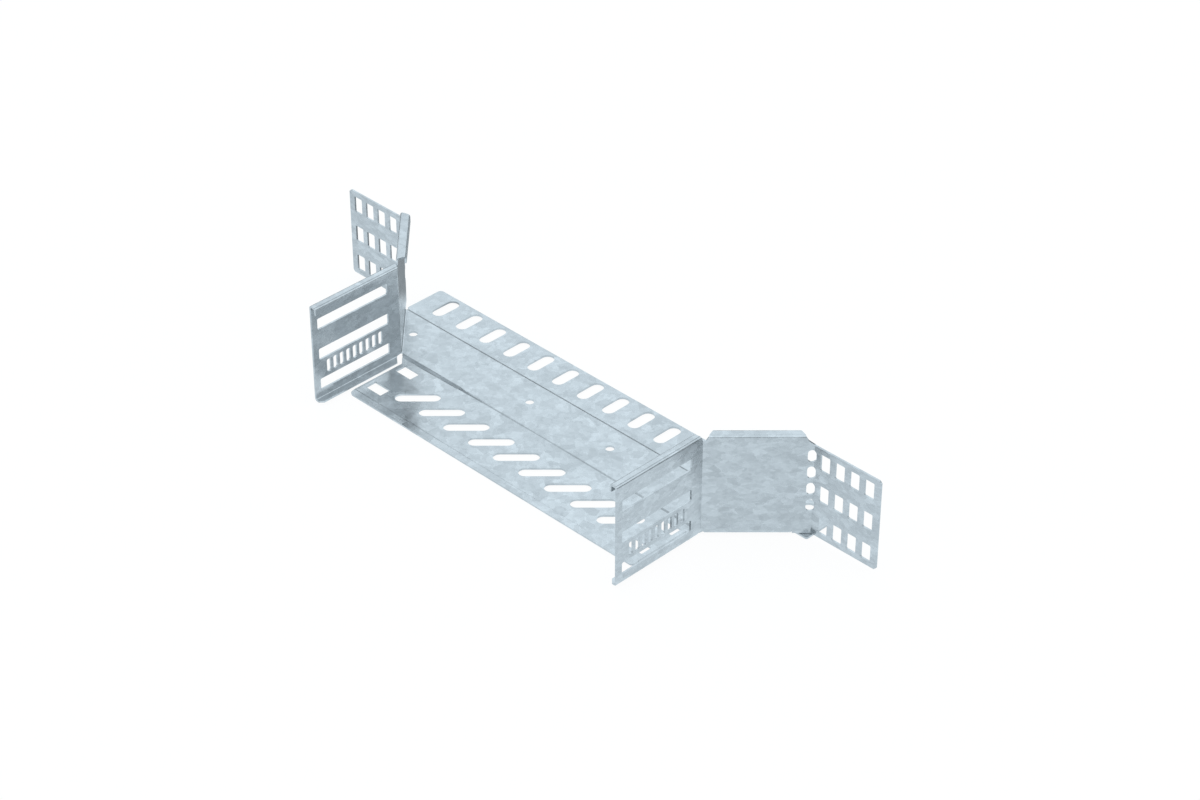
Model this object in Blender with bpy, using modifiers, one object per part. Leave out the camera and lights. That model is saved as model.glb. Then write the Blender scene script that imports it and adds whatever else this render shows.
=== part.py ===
"""Add-on branch tee for a perforated cable tray, folded from one sheet of hot-dip galvanised steel.

The branch tray joins from -Y and the main tray runs along X at +Y. The origin is the middle of the
tee at its lowest level: the walls reach as far towards -Y as the shoe reaches towards +Y.
Metres, +Z up.
"""

import math

import bmesh
import bpy
from mathutils import Matrix, Vector

# Sheet metal
SHEET = 0.0015
BEND_RADIUS = 0.0008
BEND_STEPS = 5
CORNER_STEPS = 4

# Overall sizes
OUTER_WIDTH = 0.297
WALL_LENGTH = 0.0795
WALL_HEIGHT = 0.0796
GUSSET_REACH = 0.051
FLANGE_LENGTH = 0.0568
SHOE_BACK = 0.0795

# Raised deck between the front strip and the shoe
DECK_STEP = 0.0014
DECK_FRONT = 0.0023
DECK_BACK = 0.0428
STEP_RUN = 0.0016

# Front strip of the floor, which goes under the branch tray
STRIP_INSET = 0.009
STRIP_REACH = 0.0555
LEAD_IN_LENGTH = 0.0055
LEAD_IN_DROP = 0.0008
LEAD_IN_CORNER = 0.003

# Shoe at the back, which goes under the main tray and reaches out past the walls
SHOE_REACH_RIGHT = 0.0525
SHOE_REACH_LEFT = 0.0425
SHOE_SIDE_SETBACK = 0.0014
SHOE_FRONT_CORNER = 0.0015
SHOE_BACK_CORNER = 0.003

# Foot turned in at the bottom of each wall, with its end mitred
FOOT_WIDTH = 0.0068
FOOT_MITRE = 0.8
FOOT_CHAMFER = 0.0028

# Rims turned in and down at the top of walls and gussets, with their ends drawn in
RIM_DEPTH = 0.0060
RIM_NOTCH = 0.0042
RIM_BEND_RADIUS = 0.0005
WALL_RIM_WIDTH = 0.0065
WALL_RIM_DRAW = 0.4
GUSSET_RIM_WIDTH = 0.0074
GUSSET_RIM_DRAW = 0.55

# Ends of the folds, measured along the sheet from an upright bend's corner
WALL_FOOT_START = 0.0025
GUSSET_FOLD_START = 0.0022
GUSSET_RIM_END = 0.0042
BEND_RELIEF = 0.0017
SHOULDER_DROP = 0.0028

# Flanges that bolt to the side of the main tray
FLANGE_HEIGHT = 0.0711
FLANGE_LIFT = 0.0020
FLANGE_CHAMFER = 0.0017

# Flange perforation
FLANGE_HOLE_WIDTH = 0.008
FLANGE_HOLE_HEIGHT = 0.0130
FLANGE_HOLE_CORNER = 0.0008
FLANGE_HOLE_ROWS = 3
FLANGE_HOLE_INSET = 0.0093
FLANGE_HOLE_BASE = 0.0124

# Oval holes down the gusset, beside its bend to the flange
BEND_HOLE_WIDTH = 0.0056
BEND_HOLE_HEIGHT = 0.0098
BEND_HOLE_SETBACK = 0.0016
BEND_HOLE_SPACING = 0.0132
BEND_HOLE_BASE = 0.0250
BEND_HOLE_COUNT = 4

# Wall perforation
WALL_SLOT_FRONT_INSET = 0.005
WALL_SLOT_BACK_INSET = 0.010
WALL_SLOT_HEIGHT = 0.009
WALL_SLOT_CORNER = 0.001
WALL_SLOT_BASE = 0.0134
WALL_SLOT_ROWS = 3
WALL_BAR_SPACING = 0.006
WALL_BAR_WIDTH = 0.0036
WALL_BAR_HEIGHT = 0.0105
WALL_BAR_CORNER = 0.0012
WALL_BAR_INSET = 0.008

# Floor perforation
HOLE_PITCH = 0.025
DIAGONAL_SLOT_LENGTH = 0.0325
DIAGONAL_SLOT_WIDTH = 0.0093
DIAGONAL_SLOT_CENTRE = 0.0264
DIAGONAL_SLOT_INSET = 0.045
LOCK_HOLE_LENGTH = 0.0155
LOCK_HOLE_WIDTH = 0.0092
LOCK_HOLE_CORNER = 0.0005
LOCK_HOLE_INSET = 0.0203
LOCK_HOLE_FRONT = 0.0387
LOCK_HOLE_BACK = 0.0104
DECK_HOLE_DIAMETER = 0.0065
DECK_HOLE_INNER = 0.0395
DECK_HOLE_OUTSET = 0.0122
DECK_HOLE_CENTRE = 0.0245
SHOE_SLOT_LENGTH = 0.0235
SHOE_SLOT_WIDTH = 0.010
SHOE_SLOT_CENTRE = 0.0651
SHOE_SLOT_INSET = 0.018

# Finish
ZINC_COLOUR = (0.52, 0.57, 0.61, 1.0)
ZINC_METALLIC = 0.85
ZINC_ROUGHNESS = 0.45

# Middle surface of the sheet, worked out from the sizes above
HALF_SHEET = SHEET / 2
FOLD_RADIUS = BEND_RADIUS + HALF_SHEET
UNDERSIDE_Z = LEAD_IN_DROP
STRIP_Z = UNDERSIDE_Z + HALF_SHEET
DECK_Z = STRIP_Z + DECK_STEP
RIM_TOP_Z = DECK_Z + WALL_HEIGHT - SHEET
FLANGE_BOTTOM_Z = UNDERSIDE_Z + FLANGE_LIFT
FLANGE_TOP_Z = FLANGE_BOTTOM_Z + FLANGE_HEIGHT
RIM_RADIUS = RIM_BEND_RADIUS + HALF_SHEET
UPRIGHT_LOW_Z = DECK_Z + FOLD_RADIUS
UPRIGHT_HIGH_Z = RIM_TOP_Z + HALF_SHEET - RIM_NOTCH
WALL_X = OUTER_WIDTH / 2 - HALF_SHEET
FLANGE_Y = GUSSET_REACH + HALF_SHEET
PUNCH_DEPTH = 0.012

# The gusset stands at 45 degrees, so each of its upright bends turns by half a right angle
QUARTER = math.pi / 2
GUSSET_TURN = QUARTER / 2
GUSSET_START_Y = HALF_SHEET * math.tan(GUSSET_TURN / 2)
GUSSET_LENGTH = (FLANGE_Y - GUSSET_START_Y) / math.cos(GUSSET_TURN)
GUSSET_END_X = WALL_X + FLANGE_Y - GUSSET_START_Y
BEND_TANGENT = FOLD_RADIUS * math.tan(GUSSET_TURN / 2)
FLOOR_EDGE_OFFSET = WALL_X - GUSSET_START_Y - FOLD_RADIUS / math.cos(GUSSET_TURN)

# Reach of the floor and the flanges on each side of the middle, worked out from the outer width
STRIP_EDGE_X = OUTER_WIDTH / 2 - STRIP_INSET
SHOE_RIGHT_X = OUTER_WIDTH / 2 + SHOE_REACH_RIGHT
SHOE_LEFT_X = OUTER_WIDTH / 2 + SHOE_REACH_LEFT
FLANGE_TIP_X = GUSSET_END_X + FLANGE_LENGTH

UP = Vector((0, 0, 1))
ALONG_WALL = Vector((0, 1, 0))
ALONG_GUSSET = Vector((math.sin(GUSSET_TURN), math.cos(GUSSET_TURN), 0))
INTO_WALL = Vector((-1, 0, 0))
INTO_GUSSET = Vector((-math.cos(GUSSET_TURN), math.sin(GUSSET_TURN), 0))


def extrude_row(mesh, row, moves):
    """Extrude a row of joined points, move each by its own vector and return the new row."""
    edges = [mesh.edges.get(pair) for pair in zip(row, row[1:])]
    result = bmesh.ops.extrude_edge_only(mesh, edges=edges)
    fresh = {item for item in result["geom"] if isinstance(item, bmesh.types.BMVert)}
    new_row = []
    for point in row:
        neighbours = [edge.other_vert(point) for edge in point.link_edges]
        new_row.append(next(item for item in neighbours if item in fresh))
    for point, move in zip(new_row, moves):
        point.co += move
    return new_row


def arc(radius, start, end, steps):
    """Moves (along the start axis, across it) round an arc between two headings."""
    turn = (end - start) / steps
    chord = 2 * radius * math.sin(abs(turn) / 2)
    headings = [start + turn * (step + 0.5) for step in range(steps)]
    return [(chord * math.cos(heading), chord * math.sin(heading)) for heading in headings]


def fold(mesh, row, inward, moves, draws=(0, 0), start_relief=0):
    """Fold the border at a row through (up, inward) moves and return its last row.

    Each end draws in by its share of the length folded. The relief is a cut at the row's start.
    """
    along = (row[-1].co - row[0].co).normalized()
    for up, across in moves:
        length = math.hypot(up, across)
        vectors = [UP * up + inward * across for _ in row]
        vectors[0] = vectors[0] + along * (draws[0] * length + start_relief)
        vectors[-1] = vectors[-1] - along * draws[1] * length
        row = extrude_row(mesh, row, vectors)
        start_relief = 0
    return row


def fold_rim(mesh, row, inward, width, draws):
    """Raise a border to its rim's level, turn it in and then down, and add the rim's leg."""
    rise = RIM_TOP_Z - RIM_RADIUS - UPRIGHT_HIGH_Z
    flat = width - SHEET - 2 * RIM_RADIUS
    leg = RIM_DEPTH - HALF_SHEET - RIM_RADIUS
    turn_in = arc(RIM_RADIUS, 0, QUARTER, BEND_STEPS)
    turn_down = arc(RIM_RADIUS, QUARTER, 2 * QUARTER, BEND_STEPS)
    row = fold(mesh, row, inward, [(rise, 0)] + turn_in + [(0, flat)] + turn_down, draws)
    fold(mesh, row, inward, [(-leg, 0)])


def round_corner(mesh, point, size, segments):
    """Round or chamfer one free corner of the sheet."""
    bmesh.ops.bevel(mesh, geom=[point], offset=size, segments=segments, profile=0.5, affect="VERTICES")


def add_uprights(mesh):
    """Stand up wall, gusset and flange as one band and return its columns by name."""
    low = mesh.verts.new((WALL_X, -WALL_LENGTH, UPRIGHT_LOW_Z))
    high = mesh.verts.new((WALL_X, -WALL_LENGTH, UPRIGHT_HIGH_Z))
    mesh.edges.new((low, high))
    column = [low, high]
    columns = {"wall_front": column}

    def advance(name, move, drop=0.0):
        nonlocal column
        column = extrude_row(mesh, column, [move, move - UP * drop])
        columns[name] = column

    def bend(name, start, drop=0.0):
        turn = arc(FOLD_RADIUS, start, start + GUSSET_TURN, CORNER_STEPS)
        for step, (forward, sideways) in enumerate(turn):
            advance(f"{name}_{step}", Vector((sideways, forward, 0)), drop / CORNER_STEPS)

    deck_end = (DECK_BACK - FOLD_RADIUS * math.sin(GUSSET_TURN) - GUSSET_START_Y) / math.cos(GUSSET_TURN)
    stations = {
        "gusset_start": GUSSET_FOLD_START,
        "deck_end": deck_end,
        "relief_end": deck_end + BEND_RELIEF,
        "rim_end": GUSSET_LENGTH - GUSSET_RIM_END,
    }
    advance("wall_back", ALONG_WALL * (WALL_LENGTH + GUSSET_START_Y - BEND_TANGENT))
    bend("front_bend", 0)
    place = BEND_TANGENT
    for name, station in stations.items():
        advance(name, ALONG_GUSSET * (station - place))
        place = station
    shoulder = UPRIGHT_HIGH_Z - FLANGE_TOP_Z
    advance("gusset_end", ALONG_GUSSET * (GUSSET_LENGTH - BEND_TANGENT - place), SHOULDER_DROP)
    bend("back_bend", GUSSET_TURN, shoulder - SHOULDER_DROP)
    advance("flange_tip", Vector((FLANGE_LENGTH - BEND_TANGENT, 0, 0)))
    return columns


def border(columns, first, last, level):
    """Points of the band's lower (0) or upper (1) border between two named columns."""
    names = list(columns)
    return [columns[name][level] for name in names[names.index(first):names.index(last) + 1]]


def add_rims(mesh, columns):
    """Fold the rims of wall and gusset."""
    wall_row = border(columns, "wall_front", "wall_back", 1)
    fold_rim(mesh, wall_row, INTO_WALL, WALL_RIM_WIDTH, (0, WALL_RIM_DRAW))
    gusset_row = border(columns, "gusset_start", "rim_end", 1)
    fold_rim(mesh, gusset_row, INTO_GUSSET, GUSSET_RIM_WIDTH, (GUSSET_RIM_DRAW, GUSSET_RIM_DRAW))


def add_foot(mesh, columns):
    """Turn in the wall's foot."""
    row = border(columns, "wall_front", "wall_back", 0)[::-1]
    quarter_turn = arc(FOLD_RADIUS, 2 * QUARTER, QUARTER, BEND_STEPS)
    relief = WALL_FOOT_START + GUSSET_START_Y - BEND_TANGENT
    row = fold(mesh, row, INTO_WALL, quarter_turn, (FOOT_MITRE, 0), relief)
    flat = FOOT_WIDTH - HALF_SHEET - FOLD_RADIUS
    row = fold(mesh, row, INTO_WALL, [(0, flat)], (FOOT_MITRE, 0))
    round_corner(mesh, row[-1], FOOT_CHAMFER, 1)


def add_flange_edges(mesh, columns):
    """Bring the free bottom of gusset and flange down, and chamfer the flange's corners."""
    row = border(columns, "relief_end", "flange_tip", 0)
    drop = UP * (FLANGE_BOTTOM_Z - UPRIGHT_LOW_Z)
    row = extrude_row(mesh, row, [drop] * len(row))
    round_corner(mesh, row[-1], FLANGE_CHAMFER, 1)
    round_corner(mesh, columns["flange_tip"][1], FLANGE_CHAMFER, 1)


def move_to(row, places):
    """Moves that bring a row's points to (x, y, z) places."""
    return [Vector(place) - point.co for point, place in zip(row, places)]


def add_floor(mesh, columns, shoe_reach):
    """Turn in the gusset's base as the deck and run it out to the front strip and the shoe."""
    row = border(columns, "gusset_start", "deck_end", 0)
    row = fold(mesh, row, INTO_GUSSET, arc(FOLD_RADIUS, 2 * QUARTER, QUARTER, BEND_STEPS))
    middle = extrude_row(mesh, row, move_to(row, [(0, point.co.y, DECK_Z) for point in row]))

    front = [middle[0], row[0]]
    strip_corner_y = STRIP_EDGE_X - FLOOR_EDGE_OFFSET
    lines = [
        (DECK_FRONT, DECK_Z),
        (DECK_FRONT - STEP_RUN, STRIP_Z),
        (strip_corner_y, STRIP_Z),
        (LEAD_IN_LENGTH - STRIP_REACH, STRIP_Z),
        (-STRIP_REACH, STRIP_Z - LEAD_IN_DROP),
    ]
    for y, z in lines:
        side = max(STRIP_EDGE_X, y + FLOOR_EDGE_OFFSET)
        front = extrude_row(mesh, front, move_to(front, [(0, y, z), (side, y, z)]))
    round_corner(mesh, front[1], LEAD_IN_CORNER, CORNER_STEPS)

    back = [middle[-1], row[-1]]
    step = Vector((0, STEP_RUN, STRIP_Z - DECK_Z))
    shoe_front = extrude_row(mesh, back, [step, step])
    setback = ALONG_WALL * SHOE_SIDE_SETBACK
    side_front = extrude_row(mesh, shoe_front, [setback, setback])
    depth = ALONG_WALL * (SHOE_BACK - side_front[0].co.y)
    shoe_back = extrude_row(mesh, side_front, [depth, depth])
    side = [side_front[1], shoe_back[1]]
    reach = Vector((shoe_reach - side[0].co.x, 0, 0))
    front_corner, back_corner = extrude_row(mesh, side, [reach, reach])
    round_corner(mesh, front_corner, SHOE_FRONT_CORNER, CORNER_STEPS)
    round_corner(mesh, back_corner, SHOE_BACK_CORNER, CORNER_STEPS)


def add_side(mesh, side, shoe_reach):
    """Fold one side of the tee: side is +1 for the right one and -1 for the left one."""
    half = bmesh.new()
    columns = add_uprights(half)
    add_rims(half, columns)
    add_foot(half, columns)
    add_floor(half, columns, shoe_reach)
    add_flange_edges(half, columns)
    bmesh.ops.scale(half, verts=half.verts, vec=(side, 1, 1))
    data = bpy.data.meshes.new("side")
    half.to_mesh(data)
    half.free()
    mesh.from_mesh(data)
    bpy.data.meshes.remove(data)


def make_sheet(collection):
    """Fold the sheet's middle surface from both sides and give it its thickness."""
    mesh = bmesh.new()
    add_side(mesh, 1, SHOE_RIGHT_X)
    add_side(mesh, -1, SHOE_LEFT_X)
    bmesh.ops.remove_doubles(mesh, verts=mesh.verts, dist=SHEET / 1000)
    bmesh.ops.recalc_face_normals(mesh, faces=mesh.faces)
    data = bpy.data.meshes.new("branch_tee")
    mesh.to_mesh(data)
    mesh.free()
    sheet = bpy.data.objects.new("branch_tee", data)
    collection.objects.link(sheet)
    solidify = sheet.modifiers.new("sheet", "SOLIDIFY")
    solidify.thickness = SHEET
    solidify.offset = 0
    solidify.use_even_offset = True
    return sheet


def hole(x, y, length, width, corner, angle=0.0):
    """Outline of one hole, turned about its centre: a full corner radius gives round ends."""
    points = []
    for quarter in range(4):
        sign_x = 1 if quarter in (0, 3) else -1
        sign_y = 1 if quarter in (0, 1) else -1
        centre = Vector((sign_x * (length / 2 - corner), sign_y * (width / 2 - corner)))
        for step in range(CORNER_STEPS + 1):
            heading = (quarter + step / CORNER_STEPS) * QUARTER
            point = centre + Vector((math.cos(heading), math.sin(heading))) * corner
            if not points or (point - points[-1]).length > SHEET / 1000:
                points.append(point)
    if (points[0] - points[-1]).length <= SHEET / 1000:
        points.pop()
    turn = Matrix.Rotation(angle, 2)
    return [turn @ point + Vector((x, y)) for point in points]


def round_hole(x, y, diameter):
    """Outline of one round hole."""
    return hole(x, y, diameter, diameter, diameter / 2)


def punch(name, outlines, depth, placement, collection):
    """Make one closed punch from hole outlines, centred on its placement's plane."""
    curve = bpy.data.curves.new(name, "CURVE")
    curve.dimensions = "2D"
    curve.fill_mode = "BOTH"
    curve.extrude = depth / 2
    for outline in outlines:
        spline = curve.splines.new("POLY")
        spline.points.add(len(outline) - 1)
        for spline_point, point in zip(spline.points, outline):
            spline_point.co = (point.x, point.y, 0, 1)
        spline.use_cyclic_u = True
    flat = bpy.data.objects.new(name, curve)
    collection.objects.link(flat)
    flat.matrix_world = placement
    bpy.context.view_layer.update()
    data = bpy.data.meshes.new_from_object(flat.evaluated_get(bpy.context.evaluated_depsgraph_get()))
    mesh = bmesh.new()
    mesh.from_mesh(data)
    bmesh.ops.remove_doubles(mesh, verts=mesh.verts, dist=SHEET / 1000)
    bmesh.ops.recalc_face_normals(mesh, faces=mesh.faces)
    mesh.to_mesh(data)
    mesh.free()
    cutter = bpy.data.objects.new(name + "_punch", data)
    cutter.matrix_world = flat.matrix_world
    bpy.data.objects.remove(flat)
    cutter.hide_render = True
    cutter.display_type = "WIRE"
    collection.objects.link(cutter)
    return cutter


def centred(count, spacing):
    """Places of a row of holes about its middle."""
    return [(index - (count - 1) / 2) * spacing for index in range(count)]


def holes_between(length, spacing):
    """Number of holes whose first and last centres fit within a length."""
    return int(length / spacing) + 1


def floor_holes():
    """Outlines of all holes in the floor, seen from above."""
    shoe_middle = (SHOE_RIGHT_X - SHOE_LEFT_X) / 2
    diagonal_slots = holes_between(OUTER_WIDTH - 2 * DIAGONAL_SLOT_INSET, HOLE_PITCH)
    shoe_slots = holes_between(SHOE_RIGHT_X + SHOE_LEFT_X - 2 * SHOE_SLOT_INSET, HOLE_PITCH)
    outlines = []
    for x in centred(diagonal_slots, HOLE_PITCH):
        width = DIAGONAL_SLOT_WIDTH
        outlines.append(hole(x, -DIAGONAL_SLOT_CENTRE, DIAGONAL_SLOT_LENGTH, width, width / 2, GUSSET_TURN))
    for x in centred(shoe_slots, HOLE_PITCH):
        width = SHOE_SLOT_WIDTH
        outlines.append(hole(shoe_middle + x, SHOE_SLOT_CENTRE, width, SHOE_SLOT_LENGTH, width / 2))
    for side in (1, -1):
        lock_x = side * (OUTER_WIDTH / 2 - LOCK_HOLE_INSET)
        for y in (LOCK_HOLE_FRONT, LOCK_HOLE_BACK):
            outlines.append(hole(lock_x, -y, LOCK_HOLE_LENGTH, LOCK_HOLE_WIDTH, LOCK_HOLE_CORNER))
        for x in (DECK_HOLE_INNER, OUTER_WIDTH / 2 + DECK_HOLE_OUTSET):
            outlines.append(round_hole(side * x, DECK_HOLE_CENTRE, DECK_HOLE_DIAMETER))
    return outlines


def wall_holes():
    """Outlines of the holes in a wall, along Y and Z."""
    slot_length = WALL_LENGTH - WALL_SLOT_FRONT_INSET - WALL_SLOT_BACK_INSET
    middle = -WALL_SLOT_BACK_INSET - slot_length / 2
    heights = [UNDERSIDE_Z + WALL_SLOT_BASE + row * HOLE_PITCH for row in range(WALL_SLOT_ROWS)]
    outlines = [hole(middle, z, slot_length, WALL_SLOT_HEIGHT, WALL_SLOT_CORNER) for z in heights]
    bar_z = (heights[0] + heights[1]) / 2
    bars = holes_between(slot_length - 2 * WALL_BAR_INSET, WALL_BAR_SPACING)
    for place in centred(bars, WALL_BAR_SPACING):
        outlines.append(hole(middle + place, bar_z, WALL_BAR_WIDTH, WALL_BAR_HEIGHT, WALL_BAR_CORNER))
    return outlines


def flange_holes():
    """Outlines of the holes in both flanges, along X and Z."""
    columns = holes_between(FLANGE_LENGTH - FLANGE_HOLE_INSET, HOLE_PITCH / 2)
    outlines = []
    for side in (1, -1):
        for column in range(columns):
            x = side * (FLANGE_TIP_X - FLANGE_HOLE_INSET - column * HOLE_PITCH / 2)
            for row in range(FLANGE_HOLE_ROWS):
                z = UNDERSIDE_Z + FLANGE_HOLE_BASE + row * HOLE_PITCH
                outlines.append(hole(x, z, FLANGE_HOLE_WIDTH, FLANGE_HOLE_HEIGHT, FLANGE_HOLE_CORNER))
    return outlines


def bend_holes():
    """Outlines of the oval holes beside a flange bend, along the gusset and Z."""
    heights = [UNDERSIDE_Z + BEND_HOLE_BASE + index * BEND_HOLE_SPACING for index in range(BEND_HOLE_COUNT)]
    return [hole(0, z, BEND_HOLE_WIDTH, BEND_HOLE_HEIGHT, BEND_HOLE_WIDTH / 2) for z in heights]


def make_punches(collection):
    """Place the punches of floor, walls, flanges and gussets."""
    upright = Matrix.Rotation(QUARTER, 4, "X")
    sideways = Matrix.Rotation(QUARTER, 4, "Z")
    flange_plane = Matrix.Translation((0, FLANGE_Y, 0)) @ upright
    punches = [
        punch("floor", floor_holes(), PUNCH_DEPTH, Matrix(), collection),
        punch("wall", wall_holes(), OUTER_WIDTH + PUNCH_DEPTH, sideways @ upright, collection),
        punch("flange", flange_holes(), PUNCH_DEPTH, flange_plane, collection),
    ]
    place = Vector((GUSSET_END_X, FLANGE_Y, 0)) - ALONG_GUSSET * BEND_HOLE_SETBACK
    for side in (1, -1):
        shift = Matrix.Translation((side * place.x, place.y, 0))
        turn = Matrix.Rotation(side * GUSSET_TURN, 4, "Z")
        punches.append(punch("bend", bend_holes(), PUNCH_DEPTH, shift @ turn @ upright, collection))
    return punches


def zinc():
    """Hot-dip galvanised steel."""
    material = bpy.data.materials.new("hot_dip_galvanised_steel")
    material.use_nodes = True
    shader = material.node_tree.nodes["Principled BSDF"]
    shader.inputs["Base Color"].default_value = ZINC_COLOUR
    shader.inputs["Metallic"].default_value = ZINC_METALLIC
    shader.inputs["Roughness"].default_value = ZINC_ROUGHNESS
    return material


def add_collection(name):
    """Add a named collection to the scene."""
    collection = bpy.data.collections.new(name)
    bpy.context.scene.collection.children.link(collection)
    return collection


def main():
    """Build the branch tee."""
    for item in list(bpy.data.objects):
        bpy.data.objects.remove(item, do_unlink=True)
    sheet = make_sheet(add_collection("cable_tray_branch_tee"))
    for cutter in make_punches(add_collection("punches")):
        cut = sheet.modifiers.new(cutter.name, "BOOLEAN")
        cut.operation = "DIFFERENCE"
        cut.object = cutter
    sheet.data.materials.append(zinc())


main()
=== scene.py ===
"""Looks of the cable tray branch tee: one folded sheet of steel, hot-dip galvanised after folding."""

import math

import bmesh
import bpy
from mathutils import Euler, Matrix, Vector


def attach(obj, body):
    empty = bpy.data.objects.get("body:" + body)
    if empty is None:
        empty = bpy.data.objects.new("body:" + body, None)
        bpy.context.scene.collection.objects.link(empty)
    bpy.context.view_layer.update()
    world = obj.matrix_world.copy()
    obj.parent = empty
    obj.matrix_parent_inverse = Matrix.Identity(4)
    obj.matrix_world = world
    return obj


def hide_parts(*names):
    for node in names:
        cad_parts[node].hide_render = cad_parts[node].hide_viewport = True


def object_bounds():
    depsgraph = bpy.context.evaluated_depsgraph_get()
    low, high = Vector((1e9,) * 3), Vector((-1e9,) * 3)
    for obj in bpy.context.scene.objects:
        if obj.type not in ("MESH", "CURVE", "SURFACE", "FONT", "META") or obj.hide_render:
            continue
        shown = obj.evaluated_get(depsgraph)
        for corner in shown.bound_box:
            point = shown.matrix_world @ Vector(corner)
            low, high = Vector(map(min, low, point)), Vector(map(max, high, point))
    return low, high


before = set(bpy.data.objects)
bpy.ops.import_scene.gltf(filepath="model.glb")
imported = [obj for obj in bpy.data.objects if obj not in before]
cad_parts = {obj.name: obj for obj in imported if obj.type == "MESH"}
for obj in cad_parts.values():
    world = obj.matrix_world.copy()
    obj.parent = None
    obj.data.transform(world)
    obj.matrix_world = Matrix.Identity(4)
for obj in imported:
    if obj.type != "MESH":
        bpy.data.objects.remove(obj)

CAD_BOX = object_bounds()
MM = 0.001

# Camera of the photograph, fitted to the perforation: metres, degrees and millimetres of lens
CAMERA_PLACE = (1.22726, -1.17992, 1.22569)
CAMERA_TILT = 55.062
CAMERA_ROLL = -0.071
CAMERA_HEADING = 44.881
CAMERA_LENS = 91.317
CAMERA_SENSOR = 36.0

# Finishing of the sheet: its long creases and its cut edges
MERGE_DISTANCE = 0.005 * MM
FLAT_ANGLE = math.radians(1.0)
SMOOTH_ANGLE = math.radians(32.0)
LEAD_IN_ANGLES = (math.radians(8.0), math.radians(8.6))
STEP_ANGLES = (math.radians(38.0), math.radians(44.0))
CREASE_LENGTH = 100 * MM
CREASE_ROUNDING = 0.9 * MM
CREASE_SEGMENTS = 4
EDGE_ANGLE = math.radians(60.0)
EDGE_ROUNDING = 0.1 * MM
EDGE_SEGMENTS = 2

# Zinc coat: its greys by tone, the sizes of its crystals and clouds, and each pattern's share of the tone
ZINC_DARK = (0.25, "#A9ACAE")
ZINC_MIDDLE = (0.5, "#B5B8BA")
ZINC_LIGHT = (0.75, "#C3C6C8")
SPANGLE_SIZE = 8 * MM
SMALL_SPANGLE_SIZE = 3.6 * MM
SMALL_SPANGLE_SHARE = 0.45
CRYSTAL_STRETCH = (1.0, 1.0, 1.7)
FEATHER_SIZE = 2.4 * MM
FEATHER_REACH = 2.6 * MM
FEATHER_SHARE = 0.35
FEATHER_DETAIL = 3.0
FEATHER_ROUGHNESS = 0.6
CLOUD_SIZE = 42 * MM
CLOUD_SHARE = 0.25
CLOUD_DETAIL = 2.0
GLOSS_RANGE = (0.18, 0.3)
GRAIN_SIZE = 0.8 * MM
GRAIN_DEPTH = 0.01 * MM
GRAIN_DETAIL = 2.0
WAVE_SIZE = 12 * MM
WAVE_DEPTH = 0.2 * MM
WAVE_DETAIL = 1.0
NOISE_MIDDLE = (0.5, 0.5, 0.5)

# Whites of the backdrop and of the light
STUDIO_WHITE = "#FFFFFF"
COOL_WHITE = "#EAF7FF"

# Floor: its painted brightness in the zinc's mirror (a painted reflection, with painted shade far off and a
# painted shadow spot), and the distances over which it fades
FLOOR_COLOUR = "#F4F6F7"
FLOOR_SIZE = 12.0
FLOOR_GAP = 0.2 * MM
BACKGROUND_SHARE = 0.94
MIRRORED_LEVEL = 1.24
# Painted shade in the floor's mirror image: far off, and a painted shadow spot behind the left flange
SHADED_LEVEL = 0.4
SHADED_PLACE = (-0.22, 0.13, 0.0)
SHADED_FADE = (0.06, 0.09)
FAR_FADE = (0.32, 0.5)

# Dome: its bright and dim levels, and the directions over which one fades into the other
AMBIENT_LEVEL = 1.46
DIM_LEVEL = 0.3
HORIZON_FADE = (0.05, 0.35)
GAP_SHARE = 0.8
GAP_FADE = (0.06, 0.25)
BACK_FADE = (0.1, 0.5)
FRONT_SHARE = 0.6
FRONT_FADE = (-0.5, -0.25)
LEFT_FADE = (-0.45, -0.3)

# Soft box in front
LAMP_SIZE = 1.4
LAMP_POWER = 2.0
LAMP_PLACE = (1.0, -1.8, 1.3)


def linear(colour):
    """Linear RGBA of an sRGB hex colour."""
    channels = [int(colour[start:start + 2], 16) / 255 for start in (1, 3, 5)]
    return [c / 12.92 if c <= 0.04045 else ((c + 0.055) / 1.055) ** 2.4 for c in channels] + [1.0]


def add_node(tree, kind, inputs=None, **settings):
    """Add a node with its settings: each input takes a value or is linked to a socket."""
    node = tree.nodes.new(kind)
    for name, value in settings.items():
        setattr(node, name, value)
    for name, value in (inputs or {}).items():
        if isinstance(value, bpy.types.NodeSocket):
            tree.links.new(value, node.inputs[name])
        else:
            node.inputs[name].default_value = value
    return node


def new_material(name):
    """Make an empty node material and return it with its tree."""
    material = bpy.data.materials.new(name)
    material.use_nodes = True
    material.node_tree.nodes.clear()
    return material, material.node_tree


def noise(tree, place, size, detail):
    """Soft random pattern whose features have a real size."""
    return add_node(tree, "ShaderNodeTexNoise", {"Vector": place, "Scale": 1 / size, "Detail": detail})


def warp(tree, place, size, reach):
    """Shift a texture's coordinates by noise, so that straight boundaries grow ragged."""
    shift = noise(tree, place, size, FEATHER_DETAIL)
    centred = add_node(tree, "ShaderNodeVectorMath", {0: shift.outputs["Color"], 1: NOISE_MIDDLE},
                       operation="SUBTRACT")
    offset = add_node(tree, "ShaderNodeVectorMath", {0: centred.outputs["Vector"], "Scale": reach},
                      operation="SCALE")
    moved = add_node(tree, "ShaderNodeVectorMath", {0: place, 1: offset.outputs["Vector"]}, operation="ADD")
    return moved.outputs["Vector"]


def crystals(tree, place, size):
    """Random values of the crystals at a place: one colour channel for each use."""
    cells = add_node(tree, "ShaderNodeTexVoronoi", {"Vector": place, "Scale": 1 / size})
    return add_node(tree, "ShaderNodeSeparateColor", {"Color": cells.outputs["Color"]})


def blend(tree, share, first, second):
    """Mix two values: the share is the second one's."""
    return add_node(tree, "ShaderNodeMix", {"Factor": share, "A": first, "B": second}).outputs["Result"]


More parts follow.
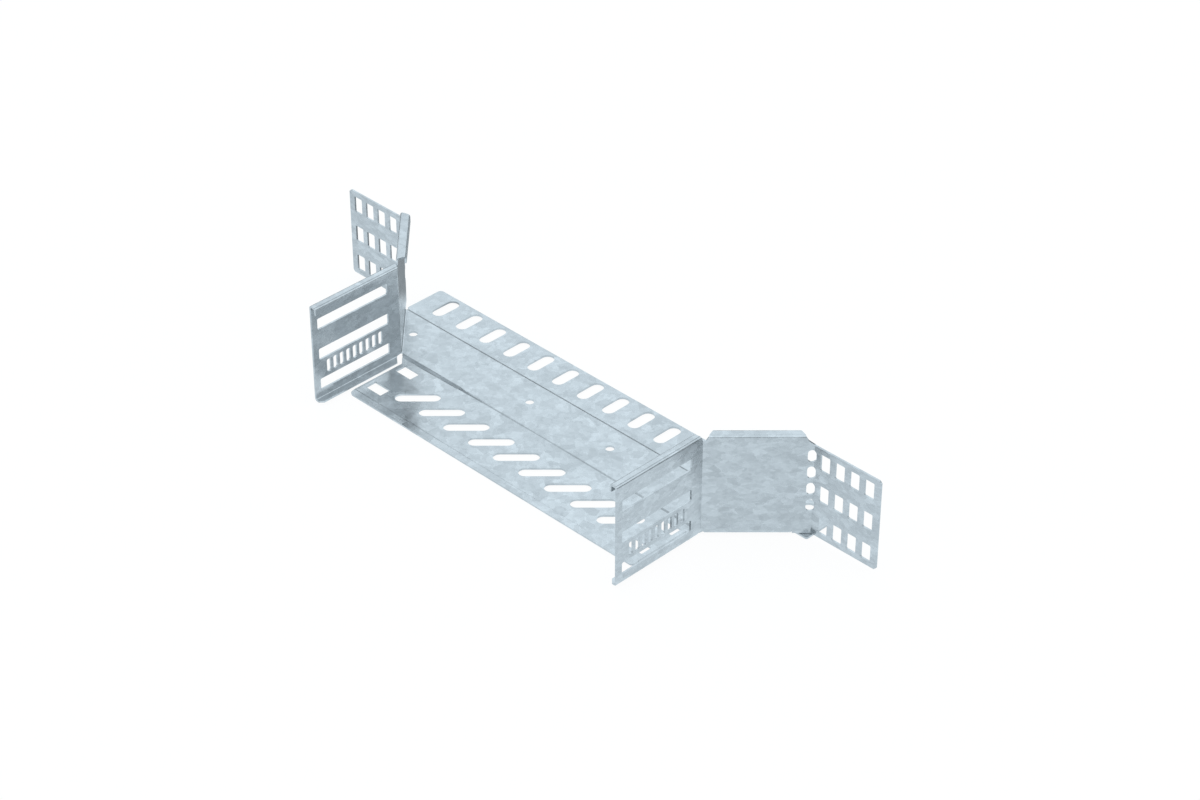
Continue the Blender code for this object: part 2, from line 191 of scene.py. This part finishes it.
def fade(tree, value, span, start, end):
    """Ease from one level to another while a value crosses a span."""
    eased = add_node(tree, "ShaderNodeMapRange",
                     {"Value": value, "From Min": span[0], "From Max": span[1],
                      "To Min": start, "To Max": end}, interpolation_type="SMOOTHSTEP")
    return eased.outputs["Result"]


def galvanised_steel():
    """Hot-dip galvanised steel: satin zinc whose crystals freeze as soft, angular patches of grey."""
    material, tree = new_material("hot_dip_galvanised_steel")
    where = add_node(tree, "ShaderNodeTexCoord").outputs["Object"]
    place = add_node(tree, "ShaderNodeMapping", {"Vector": where, "Scale": CRYSTAL_STRETCH}).outputs["Vector"]

    # Large and small crystals with ragged outlines, feathered inside
    ragged = warp(tree, place, FEATHER_SIZE, FEATHER_REACH)
    large = crystals(tree, ragged, SPANGLE_SIZE)
    small = crystals(tree, ragged, SMALL_SPANGLE_SIZE)
    feather = noise(tree, ragged, FEATHER_SIZE, FEATHER_DETAIL)
    feather.inputs["Roughness"].default_value = FEATHER_ROUGHNESS
    clouds = noise(tree, place, CLOUD_SIZE, CLOUD_DETAIL)
    spangle = blend(tree, SMALL_SPANGLE_SHARE, large.outputs["Red"], small.outputs["Red"])
    feathered = blend(tree, FEATHER_SHARE, spangle, feather.outputs["Fac"])
    clouded = blend(tree, CLOUD_SHARE, feathered, clouds.outputs["Fac"])
    ramp = add_node(tree, "ShaderNodeValToRGB", {"Fac": clouded})
    stops = ramp.color_ramp.elements
    for stop, (tone, grey) in zip(stops, (ZINC_DARK, ZINC_LIGHT)):
        stop.position = tone
        stop.color = linear(grey)
    stops.new(ZINC_MIDDLE[0]).color = linear(ZINC_MIDDLE[1])

    # Each crystal has its own gloss
    gloss = add_node(tree, "ShaderNodeMapRange",
                     {"Value": large.outputs["Green"], "To Min": GLOSS_RANGE[0], "To Max": GLOSS_RANGE[1]})

    # Gentle waves of the frozen coat and its fine grain
    wave = noise(tree, place, WAVE_SIZE, WAVE_DETAIL)
    grain = noise(tree, place, GRAIN_SIZE, GRAIN_DETAIL)
    waved = add_node(tree, "ShaderNodeBump", {"Height": wave.outputs["Fac"], "Distance": WAVE_DEPTH})
    relief = add_node(tree, "ShaderNodeBump",
                      {"Height": grain.outputs["Fac"], "Distance": GRAIN_DEPTH,
                       "Normal": waved.outputs["Normal"]})

    shader = add_node(tree, "ShaderNodeBsdfPrincipled",
                      {"Base Color": ramp.outputs["Color"], "Metallic": 1.0,
                       "Roughness": gloss.outputs["Result"], "Normal": relief.outputs["Normal"]})
    add_node(tree, "ShaderNodeOutputMaterial", {"Surface": shader.outputs["BSDF"]})
    return material


def copy_sheet():
    """Copy the frame's folded sheet, ready to be finished."""
    bpy.ops.object.select_all(action="DESELECT")
    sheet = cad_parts["branch_tee"].copy()
    sheet.data = sheet.data.copy()
    sheet.name = "galvanised_sheet"
    sheet.parent = None
    bpy.context.scene.collection.objects.link(sheet)
    sheet.select_set(True)
    bpy.context.view_layer.objects.active = sheet
    return sheet


def round_creases(sheet):
    """Merge the sheet's facets and round the long creases of its floor that are seen from above."""
    bpy.ops.object.mode_set(mode="EDIT")
    bpy.ops.mesh.select_all(action="SELECT")
    bpy.ops.mesh.remove_doubles(threshold=MERGE_DISTANCE)
    bpy.ops.mesh.dissolve_limited(angle_limit=FLAT_ANGLE)
    bpy.ops.mesh.select_all(action="DESELECT")
    bpy.ops.mesh.select_mode(type="EDGE")
    mesh = bmesh.from_edit_mesh(sheet.data)
    for edge in mesh.edges:
        angle = edge.calc_face_angle(0.0)
        creased = any(lowest < angle < highest for lowest, highest in (LEAD_IN_ANGLES, STEP_ANGLES))
        upper = sum(face.normal.z for face in edge.link_faces) > 0
        edge.select_set(creased and upper and edge.calc_length() > CREASE_LENGTH)
    bmesh.update_edit_mesh(sheet.data)
    bpy.ops.mesh.bevel(offset=CREASE_ROUNDING, segments=CREASE_SEGMENTS, affect="EDGES")
    bpy.ops.object.mode_set(mode="OBJECT")


def round_edges(sheet):
    """Round the sheet's cut edges as the zinc does, and shade its bends smooth."""
    edges = sheet.modifiers.new("edges", "BEVEL")
    edges.width = EDGE_ROUNDING
    edges.segments = EDGE_SEGMENTS
    edges.limit_method = "ANGLE"
    edges.angle_limit = EDGE_ANGLE
    edges.use_clamp_overlap = False
    bpy.ops.object.modifier_apply(modifier=edges.name)
    bpy.ops.object.shade_smooth_by_angle(angle=SMOOTH_ANGLE)
    normals = sheet.modifiers.new("normals", "WEIGHTED_NORMAL")
    normals.keep_sharp = True
    bpy.ops.object.modifier_apply(modifier=normals.name)


def dress_sheet():
    """Make the visible sheet: the frame's own, finished and galvanised."""
    sheet = copy_sheet()
    round_creases(sheet)
    round_edges(sheet)
    sheet.data.materials.clear()
    sheet.data.materials.append(galvanised_steel())
    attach(sheet, "root")
    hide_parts("branch_tee")


def floor_material():
    """Matt white paper with a faint shadow; the zinc mirrors a painted emission of it, with painted shade far
    off and a painted shadow spot.
    """
    material, tree = new_material("matt_white_paper")
    rays = add_node(tree, "ShaderNodeLightPath")
    place = add_node(tree, "ShaderNodeTexCoord").outputs["Object"]
    away = add_node(tree, "ShaderNodeVectorMath", {0: place}, operation="LENGTH")
    # Painted reflection: glossy rays see an emission, not the lit paper, with painted shade far off and a
    # painted shadow at SHADED_PLACE
    open_floor = fade(tree, away.outputs["Value"], FAR_FADE, MIRRORED_LEVEL, SHADED_LEVEL)
    aside = add_node(tree, "ShaderNodeVectorMath", {0: place, 1: SHADED_PLACE}, operation="DISTANCE")
    level = fade(tree, aside.outputs["Value"], SHADED_FADE, SHADED_LEVEL, open_floor)
    matt = add_node(tree, "ShaderNodeBsdfDiffuse", {"Color": linear(FLOOR_COLOUR)})
    white = add_node(tree, "ShaderNodeEmission", {"Color": linear(STUDIO_WHITE)})
    # The painted mirror image of the floor, glowing though it is no lamp
    mirrored = add_node(tree, "ShaderNodeEmission", {"Color": linear(COOL_WHITE), "Strength": level})
    share = add_node(tree, "ShaderNodeMath", {0: rays.outputs["Is Camera Ray"], 1: BACKGROUND_SHARE},
                     operation="MULTIPLY")
    seen = add_node(tree, "ShaderNodeMixShader",
                    {"Fac": share.outputs["Value"], 1: matt.outputs["BSDF"], 2: white.outputs["Emission"]})
    both = add_node(tree, "ShaderNodeMixShader",
                    {"Fac": rays.outputs["Is Glossy Ray"], 1: seen.outputs["Shader"],
                     2: mirrored.outputs["Emission"]})
    add_node(tree, "ShaderNodeOutputMaterial", {"Surface": both.outputs["Shader"]})
    return material


def add_floor():
    """Lay the plain floor just under the tee."""
    bpy.ops.object.select_all(action="DESELECT")
    bpy.ops.mesh.primitive_plane_add(size=FLOOR_SIZE, location=(0, 0, CAD_BOX[0][2] - FLOOR_GAP))
    floor = bpy.context.object
    floor.name = "studio_floor"
    floor.data.materials.append(floor_material())


def add_world():
    """Surroundings: white to the camera; as light, a cool dome that is dim in parts of its back and front."""
    world = bpy.data.worlds.new("white_studio")
    world.use_nodes = True
    tree = world.node_tree
    tree.nodes.clear()
    axes = add_node(tree, "ShaderNodeSeparateXYZ",
                    {"Vector": add_node(tree, "ShaderNodeTexCoord").outputs["Generated"]})
    sideways = add_node(tree, "ShaderNodeMath", {0: axes.outputs["X"]}, operation="ABSOLUTE")

    # Dim at the back, low down and in a gap midway, and at the front on the left
    low = fade(tree, axes.outputs["Z"], HORIZON_FADE, 1.0, 0.0)
    gap = fade(tree, sideways.outputs["Value"], GAP_FADE, GAP_SHARE, 0.0)
    low_or_gap = add_node(tree, "ShaderNodeMath", {0: low, 1: gap}, operation="MAXIMUM")
    back = fade(tree, axes.outputs["Y"], BACK_FADE, 0.0, low_or_gap.outputs["Value"])
    front = fade(tree, axes.outputs["Y"], FRONT_FADE, FRONT_SHARE, 0.0)
    front_left = fade(tree, axes.outputs["X"], LEFT_FADE, front, 0.0)
    dim = add_node(tree, "ShaderNodeMath", {0: back, 1: front_left}, operation="MAXIMUM")
    level = blend(tree, dim.outputs["Value"], AMBIENT_LEVEL, DIM_LEVEL)
    light = add_node(tree, "ShaderNodeBackground", {"Color": linear(COOL_WHITE), "Strength": level})
    backdrop = add_node(tree, "ShaderNodeBackground", {"Color": linear(STUDIO_WHITE)})
    rays = add_node(tree, "ShaderNodeLightPath")
    seen = add_node(tree, "ShaderNodeMixShader",
                    {"Fac": rays.outputs["Is Camera Ray"], 1: light.outputs["Background"],
                     2: backdrop.outputs["Background"]})
    add_node(tree, "ShaderNodeOutputWorld", {"Surface": seen.outputs["Shader"]})
    bpy.context.scene.world = world


def add_lamp():
    """Hang a square soft box in front, facing the tee."""
    data = bpy.data.lights.new("front_softbox", "AREA")
    data.size = LAMP_SIZE
    data.energy = LAMP_POWER
    data.color = linear(COOL_WHITE)[:3]
    lamp = bpy.data.objects.new("front_softbox", data)
    lamp.location = LAMP_PLACE
    lamp.rotation_euler = Vector(LAMP_PLACE).to_track_quat("Z", "Y").to_euler()
    bpy.context.scene.collection.objects.link(lamp)


def add_camera():
    """Stand the camera where the photograph was taken."""
    data = bpy.data.cameras.new("photograph")
    data.sensor_width = CAMERA_SENSOR
    data.lens = CAMERA_LENS
    data.clip_end = FLOOR_SIZE * 2
    camera = bpy.data.objects.new("photograph", data)
    camera.location = CAMERA_PLACE
    angles = (CAMERA_TILT, CAMERA_ROLL, CAMERA_HEADING)
    camera.rotation_euler = Euler([math.radians(angle) for angle in angles])
    bpy.context.scene.collection.objects.link(camera)
    bpy.context.scene.camera = camera


dress_sheet()
add_floor()
add_world()
add_lamp()
add_camera()
bpy.context.scene.view_settings.view_transform = "Standard"
